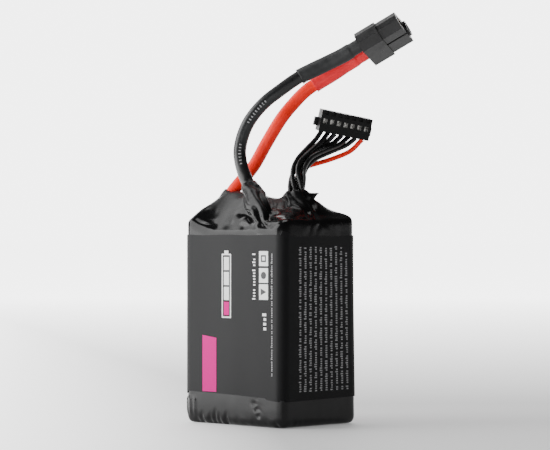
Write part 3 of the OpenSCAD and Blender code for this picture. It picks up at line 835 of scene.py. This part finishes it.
def wrap_piece():
    parts = [
        body_form(),
        fin_form(),
    ]
    parts += [collar_form(path, radii) for path, radii, *_ in COLLARS]
    vertices, faces = joined(parts)
    wrap = mesh_object("wrap_film", vertices * MM, faces, FILM)
    tidy_normals(wrap)
    remesh = wrap.modifiers.new("remesh", "REMESH")
    remesh.mode = "VOXEL"
    remesh.voxel_size = VOXEL * MM
    bpy.context.view_layer.objects.active = wrap
    evaluated = wrap.evaluated_get(bpy.context.evaluated_depsgraph_get())
    mesh = bpy.data.meshes.new_from_object(evaluated)
    wrap.modifiers.clear()
    wrap.data = mesh

    n = len(mesh.vertices)
    co = np.empty(n * 3)
    mesh.vertices.foreach_get("co", co)
    co = co.reshape(-1, 3) / MM
    edges = np.empty(len(mesh.edges) * 2, int)
    mesh.edges.foreach_get("vertices", edges)
    edges = edges.reshape(-1, 2)
    weight = np.where(co[:, 2] > 68, 1.0, 0.5)
    co = smooth_mesh(co, edges, weight, 8)
    mesh.vertices.foreach_set("co", (co * MM).ravel())
    mesh.update()
    normals = np.empty(n * 3)
    mesh.vertices.foreach_get("normal", normals)
    normals = normals.reshape(-1, 3)
    dent = front_dent(co)
    co = co + fold_depth(co)[:, None] * normals
    co[:, 1] += dent
    co = smooth_mesh(co, edges, np.ones(n), 3, 0.5)
    co = co + corner_flare(co)
    co[:, 2] = np.maximum(co[:, 2], FLOOR_GAP)
    mesh.vertices.foreach_set("co", ((co + MID) * MM).ravel())
    mesh.update()

    # open the mouths of the collars and the base, then give the film its thickness
    bm = bmesh.new()
    bm.from_mesh(mesh)
    gone = []
    for f in bm.faces:
        c = np.array(f.calc_center_median()) / MM - MID
        if c[2] < 2.2 and f.normal.z < -0.6 and abs(c[0]) < 14 and abs(c[1]) < 9.5 and c[2] > 0.8:
            gone.append(f)
            continue
        for path, _, hole, *_ in COLLARS:
            axis = (path[-1] - path[-2]) / np.linalg.norm(path[-1] - path[-2])
            rel = c - path[-1]
            lift = rel @ axis
            if -0.45 < lift < 2 and np.linalg.norm(rel - lift * axis) < hole + 0.25:
                gone.append(f)
                break
    bmesh.ops.delete(bm, geom=gone, context="FACES")
    loose = [v for v in bm.verts if not v.link_faces]
    bmesh.ops.delete(bm, geom=loose, context="VERTS")
    bm.to_mesh(mesh)
    bm.free()

    group = wrap.vertex_groups.new(name="under_label")
    z = np.empty(len(mesh.vertices) * 3)
    mesh.vertices.foreach_get("co", z)
    z = z.reshape(-1, 3)[:, 2] / MM
    group.add([int(i) for i in np.nonzero((z > 13) & (z < 63))[0]], 1.0, "REPLACE")
    thin = wrap.modifiers.new("thin", "DECIMATE")
    thin.vertex_group = group.name
    thin.ratio = 0.55
    wall = wrap.modifiers.new("wall", "SOLIDIFY")
    wall.thickness = FILM_WALL * MM
    wall.offset = -1
    evaluated = wrap.evaluated_get(bpy.context.evaluated_depsgraph_get())
    mesh = bpy.data.meshes.new_from_object(evaluated)
    wrap.modifiers.clear()
    wrap.vertex_groups.clear()
    wrap.data = mesh
    mesh.polygons.foreach_set("use_smooth", [True] * len(mesh.polygons))
    mesh.materials.clear()
    mesh.materials.append(FILM)
    mesh.update()
    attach(wrap, ROOT)
    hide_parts("shrink_wrap")


wrap_piece()


# ---- label -------------------------------------------------------------------------

LABEL_W = (label_hi.x - label_lo.x) / 2 / MM
LABEL_D = (label_hi.y - label_lo.y) / 2 / MM
LABEL_R = CORNER_R + 0.3
FRONT_LOW = [(-23.8, 11.3), (-1.9, 10.8), (15.7, 10.2), (16.6, 9.6), (19.5, 9.3), (23.8, 9.0)]
RIGHT_HIGH = [(-19.3, 66.0), (-18.6, 67.3), (-17.6, 67.1), (-12.5, 65.3), (19.3, 65.5)]


def label_low(x, y):
    if y < -LABEL_D + 0.5:
        return float(np.interp(x, *zip(*FRONT_LOW)))
    if x > LABEL_W - 0.5:
        return 9.0 + 0.6 * (y + LABEL_D) / (2 * LABEL_D)
    if x < -LABEL_W + 0.5:
        return 11.3 - 0.9 * (y + LABEL_D) / (2 * LABEL_D)
    return float(np.interp(x, (-LABEL_W, LABEL_W), (10.4, 9.6)))


def label_high(x, y):
    if x > LABEL_W - 1.2 and y > -LABEL_D:
        return float(np.interp(y, *zip(*RIGHT_HIGH)))
    return 65.9 + 0.1 * math.sin(0.3 * x + 0.2 * y)


def label_piece():
    n = 260
    outer = outline(0, n, LABEL_W, LABEL_D, LABEL_R)
    inner = outline(0.22, n, LABEL_W, LABEL_D, LABEL_R)
    lows = np.array([label_low(x, y) for x, y in outer])
    highs = np.array([label_high(x, y) for x, y in outer])
    levels = np.linspace(0, 1, 15)
    rings = [np.column_stack([outer, lows + (highs - lows) * t]) for t in levels]
    rings += [np.column_stack([inner, lows + (highs - lows) * t]) for t in levels[::-1]]
    rings.append(rings[0])
    rings = [r + corner_flare(r) for r in rings]
    vertices, faces = loft(rings, False, False)
    label = mesh_object("label_band", (vertices + MID) * MM, faces, LABEL)
    bm = bmesh.new()
    bm.from_mesh(label.data)
    bmesh.ops.remove_doubles(bm, verts=bm.verts, dist=1e-7)
    bmesh.ops.recalc_face_normals(bm, faces=bm.faces)
    bm.to_mesh(label.data)
    bm.free()
    label.data.polygons.foreach_set("use_smooth", [True] * len(label.data.polygons))
    sharpen(label, 40)
    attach(label, ROOT)
    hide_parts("label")


def sharpen(obj, degrees):
    """Keeps shading smooth only across edges that bend less than this."""
    mesh = obj.data
    bm = bmesh.new()
    bm.from_mesh(mesh)
    limit = math.radians(degrees)
    for e in bm.edges:
        e.smooth = len(e.link_faces) == 2 and e.calc_face_angle(0) < limit
    bm.to_mesh(mesh)
    bm.free()


label_piece()

# ---- print on the label: generic marks only -------------------------------------------

PRINT_LIFT = 0.035
FACES = {
    # where across + up lies, and the way out of the face
    "front": (np.array([1, 0, 0.0]), np.array([0, -1, 0.0]), LABEL_D),
    "right": (np.array([0, 1, 0.0]), np.array([1, 0, 0.0]), LABEL_W),
    "back": (np.array([-1, 0, 0.0]), np.array([0, 1, 0.0]), LABEL_D),
    "left": (np.array([0, -1, 0.0]), np.array([-1, 0, 0.0]), LABEL_W),
}
UP = np.array([0, 0, 1.0])


class Print:
    """Flat marks in one ink, laid on the faces of the label."""

    def __init__(self):
        self.vertices, self.faces = [], []

    def shape(self, face, points):
        across, out, far = FACES[face]
        start = len(self.vertices)
        for a, z in points:
            self.vertices.append(across * a + out * (far + PRINT_LIFT) + UP * z)
        self.faces.append(tuple(range(start, start + len(points))))

    def bar(self, face, a0, a1, z0, z1):
        self.shape(face, [(a0, z0), (a1, z0), (a1, z1), (a0, z1)])

    def frame(self, face, a0, a1, z0, z1, t):
        self.bar(face, a0, a1, z0, z0 + t)
        self.bar(face, a0, a1, z1 - t, z1)
        self.bar(face, a0, a0 + t, z0 + t, z1 - t)
        self.bar(face, a1 - t, a1, z0 + t, z1 - t)

    def line(self, face, a0, a1, z0, z1, seed, pitch=0.8, weight=0.62):
        """A column of plain bars in word-like groups, one above another."""
        r = rng(seed)
        z = z0
        width = a1 - a0
        while z < z1 - pitch:
            for _ in range(int(r.integers(2, 9))):
                if z > z1 - pitch:
                    break
                tall = r.choice([0.55, 0.6, 0.65, 0.85])
                low = a1 - 0.18 * width
                self.bar(face, low - tall * 0.82 * width, low, z, z + pitch * weight)
                z += pitch
            z += pitch * 0.75

    def piece(self, name, material):
        vertices = np.array(self.vertices)
        vertices = (vertices + corner_flare(vertices) + MID) * MM
        obj = mesh_object(name, vertices, self.faces, material, smooth=False)
        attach(obj, ROOT)


white, grey, pink, dark = Print(), Print(), Print(), Print()


def battery_mark(face, a, z0, z1, wide):
    """A plain battery outline standing on end, with charge bars inside."""
    left, right = a - wide / 2, a + wide / 2
    white.frame(face, left, right, z0, z1, 0.5)
    white.bar(face, a - wide * 0.22, a + wide * 0.22, z1, z1 + 1.1)
    step = (z1 - z0 - 1.0 - 0.5) / 4
    for k in range(4):
        low = z0 + 1.0 + k * step
        which = pink if k == 0 else white
        which.bar(face, left + 1.0, right - 1.0, low, low + step - 0.6)


def square_marks(face, a0, a1, spans):
    """White squares with a triangle, a disc and a smaller square in them."""
    mid = (a0 + a1) / 2
    for k, (z0, z1) in enumerate(spans):
        white.bar(face, a0, a1, z0, z1)
        c = (z0 + z1) / 2
        if k == 0:
            tri = [(mid - 1.3, c - 1.2), (mid + 1.3, c), (mid - 1.3, c + 1.2)]
            dark.shape(face, tri)
        elif k == 1:
            disc = [(mid + 1.25 * math.cos(t), c + 1.25 * math.sin(t))
                    for t in np.linspace(0, 2 * math.pi, 20, endpoint=False)]
            dark.shape(face, disc)
        else:
            dark.frame(face, mid - 1.2, mid + 1.2, c - 1.2, c + 1.2, 0.55)


for face in ("front", "back"):
    pink.shape(face, [(-14.2, 11.4), (-7.5, 11.4), (-7.5, 30.2), (-14.2, 31.0)])
    battery_mark(face, -2.6, 37.2, 59.4, 4.4)
    white.line(face, 9.5, 11.5, 43.8, 60.4, 21, pitch=1.0, weight=0.5)
    square_marks(face, 12.9, 17.1, [(43.8, 49.1), (49.6, 54.6), (55.3, 60.4)])
    white.line(face, 14.1, 16.7, 33.4, 41.2, 22, pitch=1.6, weight=0.6)
    grey.line(face, 18.3, 19.3, 17.8, 60.4, 23, pitch=0.6)
for k in range(10):
    a = -10.4 + k * 2.63
    grey.line("right", a - 0.95, a + 0.85, 12.2, 62.4 if k < 9 else 60.6, 40 + k, pitch=0.78)
for k in range(6):
    a = -9 + k * 2.63
    grey.line("left", a - 0.95, a + 0.85, 16, 58, 60 + k, pitch=0.78)

white.piece("print_white", WHITE_INK)
grey.piece("print_grey", GREY_INK)
pink.piece("print_pink", PINK_INK)
DARK_INK = ink("dark_ink", (0.035, 0.035, 0.037))
for v in dark.vertices:
    v += 0.03 * np.sign(v) * (np.abs(v) > [LABEL_W - 0.1, LABEL_D - 0.1, 1e3])
dark.piece("print_dark", DARK_INK)


def lead_marks():
    """Short pale dashes printed along the side of the black lead."""
    path = sampled(BLACK_ROUTE, 240, 3, 9)
    tangents = np.gradient(path, axis=0)
    out = np.array(VIEW_SIDE)
    vertices, faces = [], []
    r = rng(71)
    for k in [*range(38, 80, 6), *range(116, 168, 6)]:
        t = tangents[k] / np.linalg.norm(tangents[k])
        side = np.cross(out, t)
        side /= np.linalg.norm(side)
        up = np.cross(t, side)
        tall = r.uniform(0.38, 0.55)
        start = len(vertices)
        for a, b in ((-0.2, -tall), (0.2, -tall), (0.2, tall), (-0.2, tall)):
            spread = side * math.sin(b / 2.3) + up * math.cos(b / 2.3)
            vertices.append(path[k] + a * t + spread * (LEAD_D / 2 + 0.04))
        faces.append(tuple(range(start, start + 4)))
    vertices = (np.array(vertices) + MID) * MM
    marks = mesh_object("lead_marks", vertices, faces, GREY_INK, smooth=False)
    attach(marks, ROOT)


lead_marks()


# ---- floor and light ------------------------------------------------------------------

WALL_DIM, WALL_BRIGHT = 0.08, 5.0
FLOOR_NEAR, FLOOR_FAR = 0.2, 4.6
FLOOR_LEFT = 3.6


def area_light(name, at, look_at, size, power, size_y=None):
    data = bpy.data.lights.new(name, "AREA")
    data.energy = power
    data.shape = "RECTANGLE"
    data.size = size
    data.size_y = size_y or size
    obj = bpy.data.objects.new(name, data)
    bpy.context.scene.collection.objects.link(obj)
    obj.location = at
    obj.rotation_euler = (Vector(at) - Vector(look_at)).to_track_quat("Z", "Y").to_euler()
    return obj


floor_look = Nodes("floor_paint")
cloud = floor_look.noise(3, 3, 0.5)
floor_look.put(floor_look.shader.inputs["Base Color"],
               floor_look.mix(floor_look.remap(cloud, 0, 1), (0.60, 0.60, 0.60, 1),
                              (0.64, 0.64, 0.64, 1)))
floor_look.put(floor_look.shader.inputs["Roughness"], floor_look.remap(cloud, 0.7, 0.8))


def floor_along(direction):
    """How far a point of the floor lies along direction."""
    n = floor_look.add("ShaderNodeVectorMath")
    n.operation = "DOT_PRODUCT"
    floor_look.put(n.inputs[0], floor_look.place)
    n.inputs[1].default_value = direction
    return n.outputs["Value"]


glow_sum = floor_look.add("ShaderNodeMath")
glow_sum.operation = "MAXIMUM"
floor_look.put(glow_sum.inputs[0], floor_look.remap(floor_along(tuple(-VIEW_SIDE)),
                                                    FLOOR_NEAR, FLOOR_FAR, 0.1, 1.6))
floor_look.put(glow_sum.inputs[1], floor_look.remap(floor_along((-0.68, -0.73, 0)),
                                                    FLOOR_NEAR, FLOOR_LEFT, 0.0, 0.16))
floor_look.put(floor_look.shader.inputs["Emission Strength"], glow_sum.outputs[0])
floor_look.shader.inputs["Emission Color"].default_value = (1, 1, 1, 1)
floor = mesh_object("floor", [(-9, -9, 0), (9, -9, 0), (9, 9, 0), (-9, 9, 0)], [(0, 1, 2, 3)],
                    floor_look.material, smooth=False)

# The studio's walls: pale to look at, but lighting the object mostly from behind
world = bpy.data.worlds.new("studio")
bpy.context.scene.world = world
world.use_nodes = True
tree = world.node_tree
toward = tree.nodes.new("ShaderNodeTexCoord").outputs["Generated"]
facing = tree.nodes.new("ShaderNodeVectorMath")
facing.operation = "DOT_PRODUCT"
tree.links.new(toward, facing.inputs[0])
facing.inputs[1].default_value = tuple(-VIEW_SIDE)
glow = tree.nodes.new("ShaderNodeMapRange")
glow.interpolation_type = "SMOOTHSTEP"
for socket, v in zip(list(glow.inputs)[1:5], (0.80, 0.99, WALL_DIM, WALL_BRIGHT)):
    socket.default_value = v
tree.links.new(facing.outputs["Value"], glow.inputs[0])
seen = tree.nodes.new("ShaderNodeMix")
tree.links.new(tree.nodes.new("ShaderNodeLightPath").outputs["Is Camera Ray"], seen.inputs[0])
tree.links.new(glow.outputs[0], seen.inputs[2])
seen.inputs[3].default_value = WALL_BRIGHT
tree.links.new(seen.outputs[0], tree.nodes["Background"].inputs["Strength"])
tree.nodes["Background"].inputs["Color"].default_value = (1, 1, 1, 1)

TARGET = (0, 0, 0.06)
area_light("key", (-1.15, -1.2, 0.62), TARGET, 1.3, 38, size_y=1.7)
area_light("top", (-0.2, 0.3, 1.7), TARGET, 1.3, 18)
area_light("left", (-1.4, -0.1, 0.9), TARGET, 0.9, 7)
